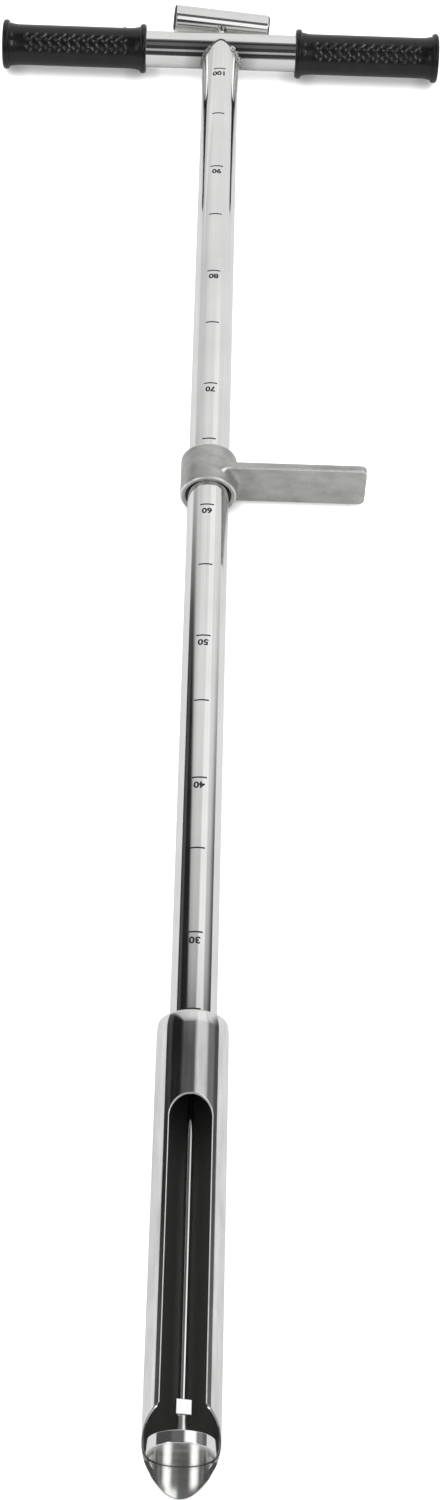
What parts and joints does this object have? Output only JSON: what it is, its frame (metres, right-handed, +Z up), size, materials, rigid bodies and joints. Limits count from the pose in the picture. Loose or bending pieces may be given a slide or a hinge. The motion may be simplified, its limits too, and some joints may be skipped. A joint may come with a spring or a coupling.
{
  "type": "soil sampler",
  "caption": "Hand soil sampler: slotted steel tube on a long shaft with a depth scale, a rubber-gripped crossbar, a sliding foot pedal and an ejector piston on a rod with a toggle bar.",
  "frame": {"origin": "on the floor under the middle of the sampler as it lies on its back, midway between the tip and the toggle bar", "axes": "+Y along the shaft from the tip to the handle, +X to the side the pedal points to, +Z up, the way the slot faces"},
  "size_m": [0.3072, 1.068, 0.038],
  "materials": {
    "polished_steel": "mirror polished",
    "weld_steel": "as welded",
    "cast_steel": "satin, blasted",
    "black_rubber": "moulded, matt"
  },
  "bodies": {
    "frame": {"sampling_tube": "polished_steel", "shoulder_plug": "polished_steel", "shaft_tube": "polished_steel", "crossbar": "polished_steel", "left_handle_weld": "weld_steel", "right_handle_weld": "weld_steel", "left_grip": "black_rubber", "right_grip": "black_rubber"},
    "pedal": {"foot_pedal": "cast_steel"},
    "piston": {"ejector_piston": "polished_steel"},
    "ejector": {"ejector_rod": "polished_steel", "ejector_handle": "polished_steel", "ejector_weld": "weld_steel", "lock_nut": "polished_steel"}
  },
  "joints": [
    {"name": "pedal_slide", "type": "slide", "parent": "frame", "child": "pedal", "axis": [0, 1, 0], "range_m": [-0.3675, 0.371]},
    {"name": "ejector_slide", "type": "slide", "parent": "frame", "child": "piston", "axis": [0, 1, 0], "range_m": [-0.0063, 0.1835]},
    {"name": "ejector_turn", "type": "hinge", "parent": "piston", "child": "ejector", "pos_m": [0, 0, 0.019], "axis": [0, 1, 0], "continuous": true}
  ]
}
